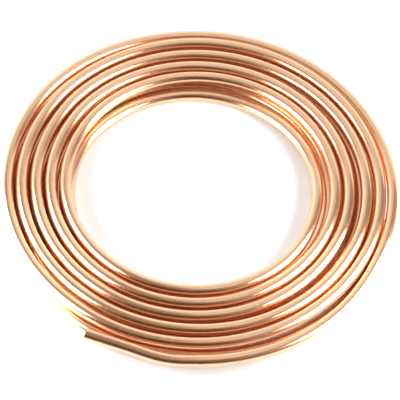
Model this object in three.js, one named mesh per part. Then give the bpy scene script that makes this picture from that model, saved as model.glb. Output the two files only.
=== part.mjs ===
// Coil of soft copper tube: one open-ended length wound as a flat spiral of two layers, lying on its lower layer.
// Millimetres, +Z up. The origin is on the floor, under the middle of the coil's footprint.
//
// The route is counted in turns, from the free end in the top layer inwards, then down and outwards in the lower
// layer. Turn 0 is at azimuth 180 degrees, and the azimuth grows anticlockwise seen from above.
import * as THREE from "three";

const { degToRad, lerp, smoothstep } = THREE.MathUtils;

// Tube.
const tubeDiameter = 6.35;
const wallThickness = 0.762;
const tubeLength = 5530;

// Top layer, wound inwards.
const outerRadius = 101.1; // centre line at turn 0
const topTurnGap = 1.4; // open width between neighbouring turns

// Step down into the lower layer, inside the eye of the coil.
const stepTurn = 4.3; // where the tube starts to come down
const descentTurns = 0.5;
const crossingDelay = 0.3; // turns from stepTurn to where the tube starts to move out under the top layer
const crossingTurns = 0.35;

// Lower layer, wound outwards until the tube's length runs out.
const lowerTurnGap = 1.7;
const lowerInset = 3.1; // of its first turn from the top turn above it, towards the eye
const layerGap = 0.3; // clearance between the layers

// Outermost turn of the top layer: it leans against the next turn, and sags where little lies under it.
const lean = { from: -0.5, to: -0.2, ease: 0.12 };
const leanGap = 0.25;
const sag = { from: -0.41, to: -0.24, ease: 0.1 };
const sagDepth = 2;

// Free end: it springs clear of the winding, then bends in a little and runs straight to its cut.
const springDistance = 3.2;
const springTurns = 0.15;
const springLead = 0.09; // turns from the end of the spring to the bend
const bendTurn = -0.77;
const bendEase = 0.025;
const bendAngle = 9.7; // degrees
const straightLength = 40;

// Stretches where the hand-wound turns stray from the true spiral. Each eases in and out over `ease` turns.
const topStrays = [
  { from: 0.3, to: 0.7, ease: 0.25, outward: 0.7 },
  { from: 1.4, to: 1.55, ease: 0.2, outward: 1.1 },
  { from: 2.5, to: 2.7, ease: 0.2, outward: -0.45 },
];
// Counted from stepTurn.
const lowerStrays = [
  { from: 0.17, to: 0.35, ease: 0.12, outward: -1.2 }, // tucked in where it steps down
  { from: 0.17, to: 0.56, ease: 0.08, outward: -0.55 },
  { from: 1.28, to: 1.48, ease: 0.16, outward: -1.6 },
  { from: 4.3, to: 4.55, ease: 0.15, outward: -1.1 },
];
// Counted from the covered end.
const coveredEndStrays = [
  { from: -0.309, to: -0.309, ease: 0.06, outward: 1.3 },
  { from: -0.3, to: -0.11, ease: 0.1, outward: 1.2 },
];

// Facets.
const sectionSides = 8;
const routeSteps = 372;
const lengthDivisions = 4000; // for even steps along the route

const topPitch = tubeDiameter + topTurnGap;
const lowerPitch = tubeDiameter + lowerTurnGap;
const layerRise = tubeDiameter + layerGap;
const lowerHeight = tubeDiameter / 2;
const topHeight = lowerHeight + layerRise;
const crossingStartTurn = stepTurn + crossingDelay;
const lowerStartTurn = crossingStartTurn + crossingTurns;
const lowerStartRadius = outerRadius - topPitch * (lowerStartTurn - 1) - lowerInset;

// 1 inside a stretch, easing to 0 on both sides of it.
function weightIn(stretch, turn) {
  const rise = smoothstep(turn, stretch.from - stretch.ease, stretch.from);
  const fall = 1 - smoothstep(turn, stretch.to, stretch.to + stretch.ease);
  return rise * fall;
}

function strayIn(strays, turn) {
  return strays.reduce((sum, stray) => sum + stray.outward * weightIn(stray, turn), 0);
}

// Height that a section needs over another one, this far to its side, to lie clear of it.
function liftToClear(apart) {
  if (apart >= layerRise) return 0;
  const flatAngle = (2 * Math.PI) / sectionSides;
  let lift = layerRise;
  for (let angle = flatAngle; angle < Math.PI / 2; angle += flatAngle) {
    lift = Math.min(lift, (layerRise - apart * Math.cos(angle)) / Math.sin(angle));
  }
  return lift;
}

// Centre line of the whole tube. It runs from the covered end to the free end, so that the tube's section starts
// square to the floor.
class CoilRoute extends THREE.Curve {
  constructor(coveredEndTurn) {
    super();
    this.arcLengthDivisions = lengthDivisions;
    this.coveredEndTurn = coveredEndTurn;
    this.squareTurn = bendTurn - bendAngle / 360; // where the straight stretch is square to the radius
    const bendRadius = this.woundRadius(bendTurn);
    this.squareRadius = bendRadius * Math.cos(degToRad(bendAngle));
    const pastSquare = straightLength - bendRadius * Math.sin(degToRad(bendAngle));
    this.freeEndTurn = this.squareTurn - Math.atan(pastSquare / this.squareRadius) / (2 * Math.PI);
    this.sagDepth = this.depthWithRoomBelow();
  }

  // Radius of the two spirals, with their strays and the free end's spring.
  spiralRadius(turn) {
    const springEnd = bendTurn + springLead;
    const spring = springDistance * (1 - smoothstep(turn, springEnd, springEnd + springTurns));
    const top = outerRadius - topPitch * turn + spring;
    const lower = lowerStartRadius + lowerPitch * (turn - lowerStartTurn);
    return (
      lerp(top, lower, smoothstep(turn, crossingStartTurn, lowerStartTurn)) +
      strayIn(topStrays, turn) +
      strayIn(lowerStrays, turn - stepTurn) +
      strayIn(coveredEndStrays, turn - this.coveredEndTurn)
    );
  }

  woundRadius(turn) {
    const leaningRadius = this.spiralRadius(turn + 1) + tubeDiameter + leanGap;
    return lerp(this.spiralRadius(turn), leaningRadius, weightIn(lean, turn));
  }

  radiusAt(turn) {
    if (turn > bendTurn + bendEase) return this.woundRadius(turn);
    const straightRadius = this.squareRadius / Math.cos(degToRad(360 * (turn - this.squareTurn)));
    const curved = smoothstep(turn, bendTurn - bendEase, bendTurn + bendEase);
    return lerp(straightRadius, this.woundRadius(turn), curved);
  }

  // Height over the lower layer at which a top turn clears every lower turn at its azimuth.
  liftOverLower(turn) {
    const radius = this.radiusAt(turn);
    let lift = 0;
    for (let below = turn + Math.ceil(lowerStartTurn - turn); below < this.coveredEndTurn; below += 1) {
      lift = Math.max(lift, liftToClear(Math.abs(radius - this.radiusAt(below))));
    }
    return lift;
  }

  // The sag goes no deeper than the lower turns under it and beside it let it.
  depthWithRoomBelow() {
    const turnStep = 0.005;
    let depth = sagDepth;
    for (let turn = sag.from - sag.ease + turnStep; turn < sag.to + sag.ease; turn += turnStep) {
      depth = Math.min(depth, (layerRise - this.liftOverLower(turn)) / weightIn(sag, turn));
    }
    return depth;
  }

  heightAt(turn) {
    const descent = smoothstep(turn, stepTurn, stepTurn + descentTurns);
    return lerp(topHeight, lowerHeight, descent) - this.sagDepth * weightIn(sag, turn);
  }

  getPoint(t, target = new THREE.Vector3()) {
    const turn = lerp(this.coveredEndTurn, this.freeEndTurn, t);
    const azimuth = degToRad(180 + 360 * turn);
    const radius = this.radiusAt(turn);
    return target.set(radius * Math.cos(azimuth), radius * Math.sin(azimuth), this.heightAt(turn));
  }
}

// The covered end falls where the tube's length runs out.
function routeOfLength(length) {
  const turnTolerance = 1e-4;
  let shortEnd = lowerStartTurn;
  let longEnd = lowerStartTurn + tubeLength / (2 * Math.PI * lowerStartRadius);
  while (longEnd - shortEnd > turnTolerance) {
    const middle = (shortEnd + longEnd) / 2;
    if (new CoilRoute(middle).getLength() < length) shortEnd = middle;
    else longEnd = middle;
  }
  return new CoilRoute(shortEnd);
}

// Regular polygon with its flats at the given radius, one of them facing down.
function sectionOutline(flatRadius) {
  const cornerRadius = flatRadius / Math.cos(Math.PI / sectionSides);
  const corners = [];
  for (let side = 0; side < sectionSides; side += 1) {
    const angle = ((side + 0.5) * 2 * Math.PI) / sectionSides;
    corners.push(new THREE.Vector2(cornerRadius * Math.cos(angle), cornerRadius * Math.sin(angle)));
  }
  return corners;
}

function tubeSection() {
  const section = new THREE.Shape(sectionOutline(tubeDiameter / 2));
  section.holes.push(new THREE.Path(sectionOutline(tubeDiameter / 2 - wallThickness)));
  return section;
}

function makeTube() {
  const geometry = new THREE.ExtrudeGeometry(tubeSection(), {
    steps: routeSteps,
    bevelEnabled: false,
    extrudePath: routeOfLength(tubeLength),
  });
  const copper = new THREE.MeshStandardMaterial({ color: 0xe6a17c, roughness: 0.25, metalness: 1 });
  const tube = new THREE.Mesh(geometry, copper);
  tube.name = "copper_tube";
  return tube;
}

// Moves the coil so that its footprint is centred on the origin and its lower layer lies on the floor.
function placeOnFloor(tube) {
  const box = new THREE.Box3().setFromObject(tube, true);
  const centre = box.getCenter(new THREE.Vector3());
  tube.position.set(-centre.x, -centre.y, -box.min.z);
}

const coil = new THREE.Group();
const tube = makeTube();
placeOnFloor(tube);
coil.add(tube);

export default coil;
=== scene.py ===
import math

import bpy
from mathutils import Matrix, Vector


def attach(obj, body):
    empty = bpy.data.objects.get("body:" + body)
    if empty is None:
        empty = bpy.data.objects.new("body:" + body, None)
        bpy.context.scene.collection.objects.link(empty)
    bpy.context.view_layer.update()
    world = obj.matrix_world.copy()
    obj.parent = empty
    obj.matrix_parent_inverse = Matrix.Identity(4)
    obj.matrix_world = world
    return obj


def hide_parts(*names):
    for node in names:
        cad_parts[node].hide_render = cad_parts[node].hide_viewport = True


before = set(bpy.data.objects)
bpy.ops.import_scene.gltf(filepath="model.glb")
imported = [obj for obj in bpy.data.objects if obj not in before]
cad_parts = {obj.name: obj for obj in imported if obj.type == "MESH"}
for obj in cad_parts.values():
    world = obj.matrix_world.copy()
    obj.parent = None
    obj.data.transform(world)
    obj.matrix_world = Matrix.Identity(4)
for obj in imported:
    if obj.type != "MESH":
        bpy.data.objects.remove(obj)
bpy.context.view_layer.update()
print("frame loaded")


def mm(value):
    return value / 1000


def mix(a, b, share):
    return a + (b - a) * share


def smooth(value, low, high):
    share = min(max((value - low) / (high - low), 0), 1)
    return share * share * (3 - 2 * share)


# The tube's route, in turns: from the free end inwards in the top layer, then down and outwards in the lower
# one. Turn 0 is at azimuth 180 degrees. A stretch is (from, to, ease) in turns, and a stray has a distance
# outwards after its stretch.
winding = {
    "diameter": mm(6.35),
    "wall": mm(0.762),
    "length": mm(5530),
    "outerRadius": mm(101.1),
    "topGap": mm(1.4),
    "stepTurn": 4.3,
    "descentTurns": 0.5,
    "crossingDelay": 0.3,
    "crossingTurns": 0.35,
    "lowerGap": mm(1.7),
    "lowerInset": mm(3.1),
    "layerGap": mm(0.3),
    "lean": (-0.5, -0.2, 0.12),
    "leanGap": mm(0.25),
    "sag": (-0.41, -0.24, 0.1),
    "sagDepth": mm(2),
    "spring": mm(3.2),
    "springTurns": 0.15,
    "springLead": 0.09,
    "bendTurn": -0.77,
    "bendEase": 0.025,
    "bendAngle": math.radians(9.7),
    "straight": mm(40),
    "topStrays": ((0.3, 0.7, 0.25, mm(0.7)), (1.4, 1.55, 0.2, mm(1.1)), (2.5, 2.7, 0.2, mm(-0.45))),
    "stepStrays": (
        (0.17, 0.35, 0.12, mm(-1.2)),
        (0.17, 0.56, 0.08, mm(-0.55)),
        (1.28, 1.48, 0.16, mm(-1.6)),
        (4.3, 4.55, 0.15, mm(-1.1)),
    ),
    "endStrays": ((-0.309, -0.309, 0.06, mm(1.3)), (-0.3, -0.11, 0.1, mm(1.2))),
    "lengthTolerance": 1e-4,  # in turns
    "pointsPerTurn": 136,
    "sides": 24,
    "squareCosine": 0.99,  # from here up, a face counts as square to the tube
    "cutBevel": mm(0.12),
    "bevelSteps": 2,
    "bevelAngle": math.radians(60),
    "smoothAngle": math.radians(20),
}
topPitch = winding["diameter"] + winding["topGap"]
lowerPitch = winding["diameter"] + winding["lowerGap"]
lowerHeight = winding["diameter"] / 2
topHeight = lowerHeight + winding["diameter"] + winding["layerGap"]
crossingStart = winding["stepTurn"] + winding["crossingDelay"]
lowerStart = crossingStart + winding["crossingTurns"]
lowerStartRadius = winding["outerRadius"] - topPitch * (lowerStart - 1) - winding["lowerInset"]


def weightIn(turn, start, end, ease):
    return smooth(turn, start - ease, start) * (1 - smooth(turn, end, end + ease))


def strayIn(strays, turn):
    return sum(outwards * weightIn(turn, *stretch) for *stretch, outwards in strays)


def spiralRadius(turn, coveredEnd):
    springEnd = winding["bendTurn"] + winding["springLead"]
    spring = winding["spring"] * (1 - smooth(turn, springEnd, springEnd + winding["springTurns"]))
    top = winding["outerRadius"] - topPitch * turn + spring
    lower = lowerStartRadius + lowerPitch * (turn - lowerStart)
    radius = mix(top, lower, smooth(turn, crossingStart, lowerStart))
    radius += strayIn(winding["topStrays"], turn)
    radius += strayIn(winding["stepStrays"], turn - winding["stepTurn"])
    return radius + strayIn(winding["endStrays"], turn - coveredEnd)


# The outermost top turn leans against the next one.
def woundRadius(turn, coveredEnd):
    leaning = spiralRadius(turn + 1, coveredEnd) + winding["diameter"] + winding["leanGap"]
    return mix(spiralRadius(turn, coveredEnd), leaning, weightIn(turn, *winding["lean"]))


# The free end's straight stretch is square to the radius at squareTurn.
squareTurn = winding["bendTurn"] - winding["bendAngle"] / math.tau
bendRadius = woundRadius(winding["bendTurn"], math.inf)
squareRadius = bendRadius * math.cos(winding["bendAngle"])
pastSquare = winding["straight"] - bendRadius * math.sin(winding["bendAngle"])
freeEnd = squareTurn - math.atan(pastSquare / squareRadius) / math.tau


def routePoint(turn, coveredEnd):
    radius = woundRadius(turn, coveredEnd)
    bend, ease = winding["bendTurn"], winding["bendEase"]
    if turn < bend + ease:
        straight = squareRadius / math.cos(math.tau * (turn - squareTurn))
        radius = mix(straight, radius, smooth(turn, bend - ease, bend + ease))
    descent = smooth(turn, winding["stepTurn"], winding["stepTurn"] + winding["descentTurns"])
    height = mix(topHeight, lowerHeight, descent) - winding["sagDepth"] * weightIn(turn, *winding["sag"])
    azimuth = math.pi + math.tau * turn
    return Vector((radius * math.cos(azimuth), radius * math.sin(azimuth), height))


def routePoints(coveredEnd):
    count = round((coveredEnd - freeEnd) * winding["pointsPerTurn"])
    return [routePoint(mix(coveredEnd, freeEnd, i / count), coveredEnd) for i in range(count + 1)]


def routeLength(points):
    return sum((b - a).length for a, b in zip(points, points[1:]))


# The covered end falls where the tube's length runs out.
def windRoute():
    short = lowerStart
    long = lowerStart + winding["length"] / (math.tau * lowerStartRadius)
    while long - short > winding["lengthTolerance"]:
        middle = (short + long) / 2
        if routeLength(routePoints(middle)) < winding["length"]:
            short = middle
        else:
            long = middle
    points = routePoints(short)
    print("route wound:", len(points), "points,", round(routeLength(points), 4), "m")
    return points


def deselectAll():
    for obj in bpy.context.selected_objects:
        obj.select_set(False)


# The mesh is moved so that its footprint is centred on the origin, as the frame's is.
def centreFootprint(piece):
    corners = [Vector(corner) for corner in piece.bound_box]
    low = Vector([min(corner[axis] for corner in corners) for axis in range(3)])
    high = Vector([max(corner[axis] for corner in corners) for axis in range(3)])
    middle = (low + high) / 2
    piece.data.transform(Matrix.Translation((-middle.x, -middle.y, -low.z)))


# The cut faces get 1 in cut_face and the rest 0. The wall modifier adds them last: one a side, at both ends.
def markCutFaces(tube, points):
    ends = ((points[1] - points[0]).normalized(), (points[-1] - points[-2]).normalized())
    flags = tube.data.attributes.new("cut_face", "FLOAT", "FACE")
    firstCut = len(tube.data.polygons) - 2 * winding["sides"]
    for face in tube.data.polygons:
        square = any(abs(face.normal.dot(end)) > winding["squareCosine"] for end in ends)
        flags.data[face.index].value = 1 if square and face.index >= firstCut else 0


def makeTube():
    deselectAll()
    points = windRoute()
    bpy.ops.curve.primitive_nurbs_path_add()
    tube = bpy.context.object
    tube.name = "coiled_tube"
    curve = tube.data
    curve.splines.clear()
    spline = curve.splines.new("POLY")
    spline.points.add(len(points) - 1)
    for target, point in zip(spline.points, points):
        target.co = (*point, 1)
    curve.twist_mode = "Z_UP"
    curve.bevel_depth = winding["diameter"] / 2
    curve.bevel_resolution = winding["sides"] // 2 - 2  # this many give the section its sides
    curve.use_fill_caps = False
    bpy.ops.object.convert(target="MESH")
    tube = bpy.context.object
    centreFootprint(tube)
    wall = tube.modifiers.new("wall", "SOLIDIFY")
    wall.thickness = winding["wall"]
    wall.offset = -1  # inwards
    wall.use_even_offset = True
    bpy.ops.object.modifier_apply(modifier="wall")
    markCutFaces(tube, points)
    edges = tube.modifiers.new("cut_edges", "BEVEL")
    edges.width = winding["cutBevel"]
    edges.segments = winding["bevelSteps"]
    edges.limit_method = "ANGLE"
    edges.angle_limit = winding["bevelAngle"]
    bpy.ops.object.modifier_apply(modifier="cut_edges")
    bpy.ops.object.shade_smooth_by_angle(angle=winding["smoothAngle"])
    print("tube made:", len(tube.data.polygons), "faces")
    return tube


# Marks are (size along the tube, size across it, detail). Each range is of the marks' strength, from 0 to 1.
copperValues = {
    "colour": (0.95, 0.61, 0.39, 1),
    "tarnish": (0.86, 0.49, 0.295, 1),
    "cutColour": (0.9, 0.56, 0.36, 1),
    "roughness": (0.16, 0.29),
    "scratchRoughness": 0.14,
    "cutRoughness": 0.32,
    "anisotropy": 0.7,
    "anisotropyTurn": 0.25,
    "lines": (mm(70), mm(0.3), 2),
    "patches": (mm(85), mm(11), 3),
    "scratches": (mm(14), mm(0.35), 0),
    "dents": (mm(28), mm(9), 1),
    "lineRange": (0.35, 0.7),
    "lineTarnish": (0, 0.36),
    "patchRange": (0.48, 0.75),
    "patchTarnish": (0, 0.45),
    "scratchRange": (0.76, 0.84),
    "scratchTarnish": 0.25,
    "wearRange": (0.35, 0.65),
    "lineDepth": mm(0.002),
    "dentDepth": mm(0.02),
}


def addMath(nodes, links, operation, first, second):
    node = nodes.new("ShaderNodeMath")
    node.operation = operation
    for socket, value in zip(node.inputs, (first, second)):
        if isinstance(value, float):
            socket.default_value = value
        else:
            links.new(value, socket)
    return node.outputs["Value"]


# Position on the tube as if it lay straight: along its length, then across its round section.
def addStraightPlace(nodes, links):
    uv = nodes.new("ShaderNodeUVMap")
    uv.uv_map = "UVMap"
    parts = nodes.new("ShaderNodeSeparateXYZ")
    links.new(uv.outputs["UV"], parts.inputs["Vector"])
    place = nodes.new("ShaderNodeCombineXYZ")
    links.new(addMath(nodes, links, "MULTIPLY", parts.outputs["X"], winding["length"]), place.inputs["X"])
    angle = addMath(nodes, links, "MULTIPLY", parts.outputs["Y"], math.tau)
    for axis, wave in zip("YZ", ("COSINE", "SINE")):
        across = addMath(nodes, links, wave, angle, 0.0)
        links.new(addMath(nodes, links, "MULTIPLY", across, winding["diameter"] / 2), place.inputs[axis])
    return place.outputs["Vector"]


def addMarks(nodes, links, place, marks):
    along, across, detail = marks
    scaled = nodes.new("ShaderNodeVectorMath")
    scaled.operation = "DIVIDE"
    links.new(place, scaled.inputs[0])
    scaled.inputs[1].default_value = (along, across, across)
    noise = nodes.new("ShaderNodeTexNoise")
    noise.inputs["Scale"].default_value = 1
    noise.inputs["Detail"].default_value = detail
    links.new(scaled.outputs["Vector"], noise.inputs["Vector"])
    return noise.outputs["Fac"]


def addRange(nodes, links, value, source, target):
    span = nodes.new("ShaderNodeMapRange")
    links.new(value, span.inputs["Value"])
    span.inputs["From Min"].default_value, span.inputs["From Max"].default_value = source
    span.inputs["To Min"].default_value, span.inputs["To Max"].default_value = target
    return span.outputs["Result"]


def addBump(nodes, links, height, depth, normal=None):
    bump = nodes.new("ShaderNodeBump")
    bump.inputs["Strength"].default_value = 1
    bump.inputs["Distance"].default_value = depth
    links.new(height, bump.inputs["Height"])
    if normal:
        links.new(normal, bump.inputs["Normal"])
    return bump.outputs["Normal"]


def addMixedColour(nodes, links, factor, first, second, blend="MIX"):
    mixed = nodes.new("ShaderNodeMix")
    mixed.data_type = "RGBA"
    mixed.blend_type = blend
    links.new(factor, mixed.inputs["Factor"])
    for socket, value in zip("AB", (first, second)):
        if isinstance(value, tuple):
            mixed.inputs[socket].default_value = value
        else:
            links.new(value, mixed.inputs[socket])
    return mixed.outputs["Result"]


# Bright drawn copper, with fine lines along it, slow patches of tarnish, a few scratches and dull cut faces.
def makeCopper(values):
    copper = bpy.data.materials.new("bright_copper")
    copper.use_nodes = True
    nodes, links = copper.node_tree.nodes, copper.node_tree.links
    shader = nodes["Principled BSDF"]
    shader.inputs["Metallic"].default_value = 1
    shader.inputs["Anisotropic"].default_value = values["anisotropy"]
    shader.inputs["Anisotropic Rotation"].default_value = values["anisotropyTurn"]
    tangent = nodes.new("ShaderNodeTangent")
    tangent.direction_type = "UV_MAP"
    tangent.uv_map = "UVMap"
    links.new(tangent.outputs["Tangent"], shader.inputs["Tangent"])
    cut = nodes.new("ShaderNodeAttribute")
    cut.attribute_name = "cut_face"
    place = addStraightPlace(nodes, links)
    lines = addMarks(nodes, links, place, values["lines"])
    patches = addMarks(nodes, links, place, values["patches"])
    scratches = addMarks(nodes, links, place, values["scratches"])
    scratches = addRange(nodes, links, scratches, values["scratchRange"], (0, 1))
    dents = addMarks(nodes, links, place, values["dents"])

    patchTarnish = addRange(nodes, links, patches, values["patchRange"], values["patchTarnish"])
    lineTarnish = addRange(nodes, links, lines, values["lineRange"], values["lineTarnish"])
    scratchTarnish = addMath(nodes, links, "MULTIPLY", scratches, values["scratchTarnish"])
    tarnish = addMath(nodes, links, "ADD", patchTarnish, lineTarnish)
    tarnish = addMath(nodes, links, "ADD", tarnish, scratchTarnish)
    colour = addMixedColour(nodes, links, tarnish, values["colour"], values["tarnish"])
    colour = addMixedColour(nodes, links, cut.outputs["Fac"], colour, values["cutColour"])
    links.new(colour, shader.inputs["Base Color"])

    wear = addMath(nodes, links, "ADD", lines, patches)
    wear = addMath(nodes, links, "MULTIPLY", wear, 0.5)  # the mean of the two
    roughness = addRange(nodes, links, wear, values["wearRange"], values["roughness"])
    scratched = addMath(nodes, links, "MULTIPLY", scratches, values["scratchRoughness"])
    roughness = addMath(nodes, links, "ADD", roughness, scratched)
    cutRoughness = addMath(nodes, links, "MULTIPLY", cut.outputs["Fac"], values["cutRoughness"])
    roughness = addMath(nodes, links, "MAXIMUM", roughness, cutRoughness)
    links.new(roughness, shader.inputs["Roughness"])

    grain = addMath(nodes, links, "SUBTRACT", lines, scratches)
    normal = addBump(nodes, links, dents, values["dentDepth"])
    normal = addBump(nodes, links, grain, values["lineDepth"], normal)
    links.new(normal, shader.inputs["Normal"])
    print("copper mixed:", len(nodes), "nodes")
    return copper


tube = makeTube()
tube.data.materials.clear()
tube.data.materials.append(makeCopper(copperValues))
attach(tube, "root")
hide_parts("copper_tube")


floorValues = {
    "size": 12,
    "colour": (0.75, 0.795, 0.83, 1),
    "roughness": 0.6,
}


def makeFloor(values):
    deselectAll()
    bpy.ops.mesh.primitive_plane_add(size=values["size"])
    floor = bpy.context.object
    floor.name = "floor"
    paper = bpy.data.materials.new("pale_floor")
    paper.use_nodes = True
    shader = paper.node_tree.nodes["Principled BSDF"]
    shader.inputs["Base Color"].default_value = values["colour"]
    shader.inputs["Roughness"].default_value = values["roughness"]
    floor.data.materials.append(paper)
    print("floor laid")


makeFloor(floorValues)


cameraValues = {
    "target": Vector((mm(0.38), mm(-6.95), topHeight)),
    "elevation": math.radians(54.81),
    "distance": mm(1133.7),
    "roll": math.radians(3.13),
    "lens": 192.6,
    "sensor": 36,
    "nearest": mm(10),
}


def makeCamera(values):
    camera = bpy.data.objects.new("camera", bpy.data.cameras.new("camera"))
    bpy.context.scene.collection.objects.link(camera)
    camera.data.lens = values["lens"]
    camera.data.sensor_width = values["sensor"]
    camera.data.clip_start = values["nearest"]
    away = Vector((0, -math.cos(values["elevation"]), math.sin(values["elevation"])))
    camera.location = values["target"] + away * values["distance"]
    tilt = Matrix.Rotation(math.pi / 2 - values["elevation"], 4, "X")
    turn = tilt @ Matrix.Rotation(values["roll"], 4, "Z")
    camera.rotation_euler = turn.to_euler()
    bpy.context.scene.camera = camera
    print("camera set")


makeCamera(cameraValues)


# Soft boxes lean over the coil from both sides. Each stands on the line from start to end, which goes
# anticlockwise round the coil, and has its lean from upright in degrees, its slant height and its radiance.
# Dark cloth with a painted glow hangs behind it and reaches past its sides and top as far as the rims say.
softBoxes = {
    "right": {
        "start": (0.553, -0.254),
        "end": (0.548, 0.078),
        "lean": 47,
        "height": 0.41,
        "radiance": 9,
        "rims": {"start": 0.24, "end": 0.2, "top": 0.14},
    },
    "left": {
        "start": (-0.549, 0.011),
        "end": (-0.417, -0.272),
        "lean": 59,
        "height": 0.327,
        "radiance": 10,
        "rims": {"start": 0.01, "end": 0.03, "top": 0.23},
    },
}
# The cloth's colour is a painted glow, in place of the light that falls on the cloth.
clothValues = {
    "colour": (0.37, 0.31, 0.275, 1),
    "behind": mm(5),
}
wattsPerRadiance = 4  # for each square metre of an area light


# The place of a leaning rectangle, with X along its foot, Y up its slope and -Z at the coil, and its width.
def leaningPlace(values):
    start, end = (Vector((*values[corner], 0)) for corner in ("start", "end"))
    up = Vector((0, 0, 1))
    along = (end - start).normalized()
    lean = math.radians(values["lean"])
    rise = up * math.cos(lean) + up.cross(along) * math.sin(lean)
    turn = Matrix((along, rise, along.cross(rise))).transposed().to_4x4()
    middle = (start + end) / 2 + rise * values["height"] / 2
    return Matrix.Translation(middle) @ turn, (end - start).length


def makeSoftBox(name, values):
    place, width = leaningPlace(values)
    light = bpy.data.lights.new(name, "AREA")
    light.shape = "RECTANGLE"
    light.size = width
    light.size_y = values["height"]
    light.energy = wattsPerRadiance * values["radiance"] * width * values["height"]
    box = bpy.data.objects.new(name, light)
    bpy.context.scene.collection.objects.link(box)
    box.matrix_world = place
    box.visible_camera = False


def makeCloth(name, values, material):
    place, width = leaningPlace(values)
    rims = values["rims"]
    middle = Matrix.Translation(((rims["end"] - rims["start"]) / 2, rims["top"] / 2, clothValues["behind"]))
    size = Matrix.Diagonal((width + rims["start"] + rims["end"], values["height"] + rims["top"], 1, 1))
    deselectAll()
    bpy.ops.mesh.primitive_plane_add(size=1)
    cloth = bpy.context.object
    cloth.name = name
    cloth.data.transform(place @ middle @ size)
    cloth.data.materials.append(material)
    cloth.visible_camera = False


def makeGlowingClothMaterial():
    material = bpy.data.materials.new("glowing_dark_cloth")
    material.use_nodes = True
    shader = material.node_tree.nodes["Principled BSDF"]
    shader.inputs["Base Color"].default_value = (0, 0, 0, 1)
    shader.inputs["Specular IOR Level"].default_value = 0
    # The cloth is black; this dim glow is painted light, standing in for the light that falls on it.
    shader.inputs["Emission Color"].default_value = clothValues["colour"]
    shader.inputs["Emission Strength"].default_value = 1
    return material


glowingClothMaterial = makeGlowingClothMaterial()
for name, values in softBoxes.items():
    makeSoftBox(name, values)
    makeCloth(name + "_cloth", values, glowingClothMaterial)
    print("soft box hung:", name)


# Around the boxes the light goes from a dark front, over the ceiling, to a pale backdrop. arch runs from the
# front horizon (0) over the top (90) to the back horizon (180). sides darkens or brightens it all round, from
# the left (-180) by the front (-90), the right (0) and the back (90) to the left again, and fades out towards
# the top between the two heights in sidesTop, where straight up is 1.
surroundings = {
    "arch": (
        (0, (0.16, 0.09, 0.055)),
        (30, (0.12, 0.065, 0.04)),
        (55, (0.17, 0.1, 0.065)),
        (68, (0.38, 0.27, 0.2)),
        (88, (0.95, 0.9, 0.87)),
        (107, (0.95, 0.95, 0.95)),
        (125, (0.75, 0.73, 0.72)),
        (145, (1.12, 1.12, 1.12)),
        (180, (1.8, 1.8, 1.8)),
    ),
    "sides": (
        (-180, (1, 1, 1)),
        (-150, (1, 1, 1)),
        (-120, (0.55, 0.5, 0.45)),
        (-95, (0.8, 0.75, 0.7)),
        (-60, (1, 1, 1)),
        (118, (1, 1, 1)),
        (142, (1.4, 1.4, 1.4)),
        (160, (1.4, 1.4, 1.4)),
        (180, (1, 1, 1)),
    ),
    "sidesTop": (0.8, 0.95),
    "background": (0.9, 0.9, 0.9, 1),
}


# A ramp over an angle, whose stops are in degrees.
def addAngleRamp(nodes, links, angle, stops):
    low, high = stops[0][0], stops[-1][0]
    share = addRange(nodes, links, angle, (math.radians(low), math.radians(high)), (0, 1))
    ramp = nodes.new("ShaderNodeValToRGB")
    elements = ramp.color_ramp.elements
    elements.remove(elements[1])
    for index, (place, colour) in enumerate(stops):
        position = (place - low) / (high - low)
        element = elements[0] if index == 0 else elements.new(position)
        element.position = position
        element.color = (*colour, 1)
    links.new(share, ramp.inputs["Fac"])
    return ramp.outputs["Color"]


def makeWorld(values):
    world = bpy.data.worlds.new("studio")
    bpy.context.scene.world = world
    world.use_nodes = True
    nodes, links = world.node_tree.nodes, world.node_tree.links
    direction = nodes.new("ShaderNodeTexCoord")
    parts = nodes.new("ShaderNodeSeparateXYZ")
    links.new(direction.outputs["Generated"], parts.inputs["Vector"])
    x, y, z = (parts.outputs[axis] for axis in "XYZ")
    forwards = addMath(nodes, links, "MULTIPLY", y, -1.0)
    archAngle = addMath(nodes, links, "ARCTAN2", z, forwards)
    arch = addAngleRamp(nodes, links, archAngle, values["arch"])
    sideAngle = addMath(nodes, links, "ARCTAN2", y, x)
    sides = addAngleRamp(nodes, links, sideAngle, values["sides"])
    reach = addRange(nodes, links, z, values["sidesTop"], (1, 0))
    around = addMixedColour(nodes, links, reach, arch, sides, "MULTIPLY")
    path = nodes.new("ShaderNodeLightPath")
    seen = addMixedColour(nodes, links, path.outputs["Is Camera Ray"], around, values["background"])
    links.new(seen, nodes["Background"].inputs["Color"])
    nodes["Background"].inputs["Strength"].default_value = 1
    print("studio lit")


makeWorld(surroundings)

# Light bounces many times in the grooves between the turns.
bounces = {
    "all": 16,
    "glossy": 12,
    "diffuse": 8,
}
scene = bpy.context.scene
scene.view_settings.view_transform = "Standard"
scene.cycles.max_bounces = bounces["all"]
scene.cycles.glossy_bounces = bounces["glossy"]
scene.cycles.diffuse_bounces = bounces["diffuse"]
